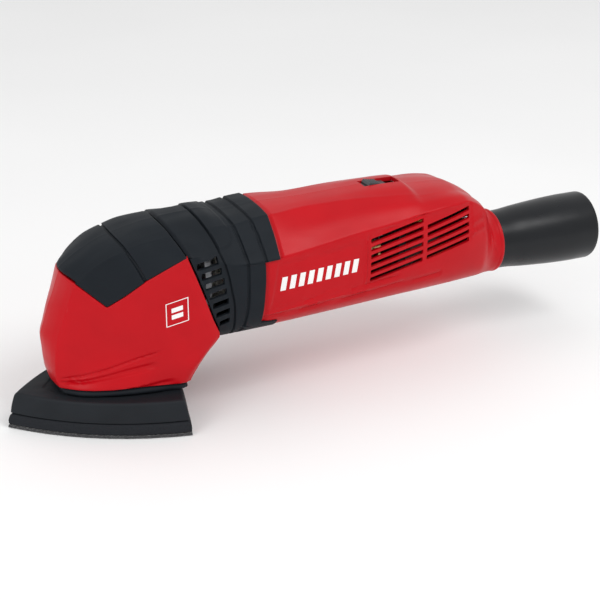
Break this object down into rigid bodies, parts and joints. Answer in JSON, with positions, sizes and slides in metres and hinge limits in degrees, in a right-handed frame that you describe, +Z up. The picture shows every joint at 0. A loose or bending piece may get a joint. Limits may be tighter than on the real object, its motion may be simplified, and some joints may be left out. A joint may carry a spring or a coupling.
{
  "type": "detail sander",
  "caption": "Handheld detail sander with a swinging triangular pad, barrel grip housing, slide switch and tapered dust outlet.",
  "frame": {"origin": "middle of the flat sanding face, on the pad's vertical swing axis", "axes": "+X along the barrel from the pad's nose towards the dust outlet, +Z up from the sanding face, +Y to the right seen from behind; symmetric about y = 0 outside"},
  "size_m": [0.3367, 0.093, 0.101],
  "materials": {
    "red_plastic": "satin gloss moulded plastic",
    "soft_grip": "matt soft-touch overmould",
    "black_plastic": "fine-textured moulded plastic",
    "pad_rubber": "matt moulded rubber",
    "hook_fabric": "hook-and-loop face",
    "switch_grey": "ribbed grey plastic",
    "steel": "ground steel",
    "laminated_steel": "stacked laminations",
    "cast_aluminium": "as cast",
    "copper": "varnished copper",
    "brass": "pressed brass",
    "carbon": "pressed carbon",
    "white_nylon": "natural nylon",
    "yellow_foil": "wrapped foil",
    "blue_sleeve": "insulated wire",
    "brown_sleeve": "insulated wire"
  },
  "bodies": {
    "housing": {"lower_spindle_bearing": "steel", "upper_spindle_bearing": "steel", "spindle_housing": "cast_aluminium", "stator_core": "laminated_steel", "field_coil_upper": "copper", "field_coil_lower": "copper", "front_motor_bearing": "steel", "rear_motor_bearing": "steel", "bearing_sleeve": "soft_grip", "front_bearing_plate": "cast_aluminium", "rear_bearing_carrier": "black_plastic", "carbon_brush_left": "carbon", "carbon_brush_right": "carbon", "brush_holder_left": "brass", "brush_holder_right": "brass", "brush_spring_left": "steel", "brush_spring_right": "steel", "barrel_shell_left": "red_plastic", "barrel_shell_right": "red_plastic", "head_shell_left": "red_plastic", "head_shell_right": "red_plastic", "grip_cap": "soft_grip", "neck_grille": "soft_grip", "grip_collar": "soft_grip", "dust_shroud": "black_plastic", "dust_seal": "soft_grip", "dust_duct": "black_plastic", "tail_spigot": "black_plastic", "switch_body": "black_plastic", "suppressor_capacitor": "yellow_foil", "cord_gland": "soft_grip", "cord_clamp": "black_plastic", "supply_lead_brown": "brown_sleeve", "supply_lead_blue": "blue_sleeve", "barrel_screw_1": "steel", "barrel_screw_2": "steel", "barrel_screw_3": "steel", "barrel_screw_4": "steel", "barrel_screw_5": "steel", "head_screw_1": "steel", "head_screw_2": "steel"},
    "rotor": {"rotor_shaft": "steel", "eccentric_hub": "steel", "drive_bearing": "steel", "armature_core": "laminated_steel", "front_windings": "copper", "rear_windings": "copper", "commutator": "copper", "cooling_fan": "white_nylon"},
    "sanding_pad": {"output_spindle": "steel", "hook_face": "hook_fabric", "pad_foam": "pad_rubber", "pad_plate": "pad_rubber", "pad_screw": "steel", "swing_fork": "steel", "fork_nut": "steel"},
    "switch": {"switch_slider": "switch_grey"},
    "adapter": {"dust_adapter": "black_plastic"}
  },
  "joints": [
    {"name": "motor_spin", "type": "hinge", "parent": "housing", "child": "rotor", "pos_m": [0.1, 0, 0.071], "axis": [1, 0, 0], "continuous": true},
    {"name": "pad_swing", "type": "hinge", "parent": "housing", "child": "sanding_pad", "pos_m": [0, 0, 0.03], "axis": [0, 0, 1], "range_deg": [-1.5, 1.5]},
    {"name": "switch_slide", "type": "slide", "parent": "housing", "child": "switch", "axis": [1, 0, 0], "range_m": [0, 0.006]},
    {"name": "adapter_pull", "type": "slide", "parent": "housing", "child": "adapter", "axis": [1, 0, 0], "range_m": [0, 0.03]}
  ]
}
